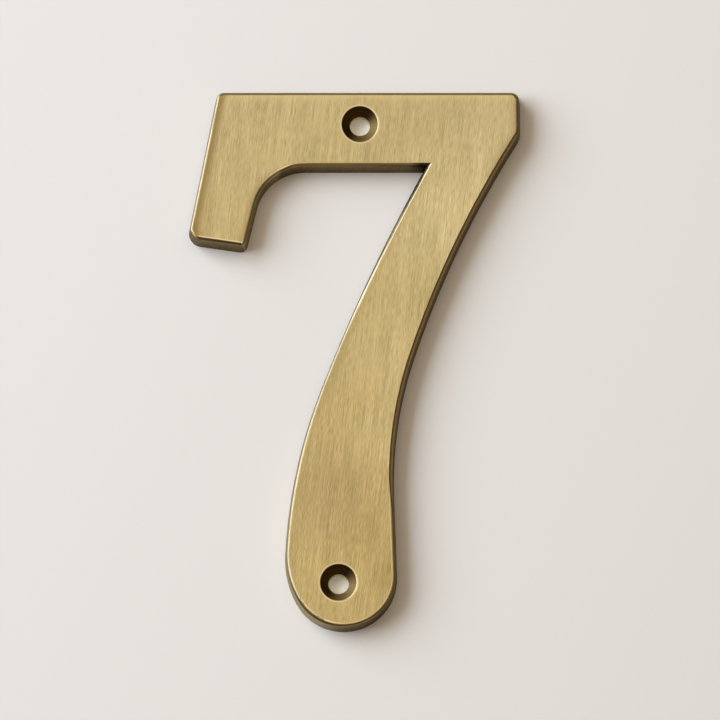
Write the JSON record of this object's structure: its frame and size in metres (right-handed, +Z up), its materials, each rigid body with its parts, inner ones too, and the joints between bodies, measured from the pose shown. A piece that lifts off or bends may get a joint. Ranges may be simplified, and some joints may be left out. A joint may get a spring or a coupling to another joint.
{
  "type": "house number",
  "caption": "Cast brass house numeral 7 with drafted sides, a rounded front edge and countersunk holes for screwing it flat to a wall or door.",
  "frame": {"origin": "centre of the numeral's box on the wall plane, where its flat back lies", "axes": "+X to the right as it is read, +Y into the wall, +Z up"},
  "size_m": [0.062, 0.0045, 0.1016],
  "materials": {
    "satin_brass": "satin antique brass, brushed upright on the face, darker on the sides and in the countersinks"
  },
  "bodies": {
    "root": {"numeral": "satin_brass"}
  },
  "joints": []
}
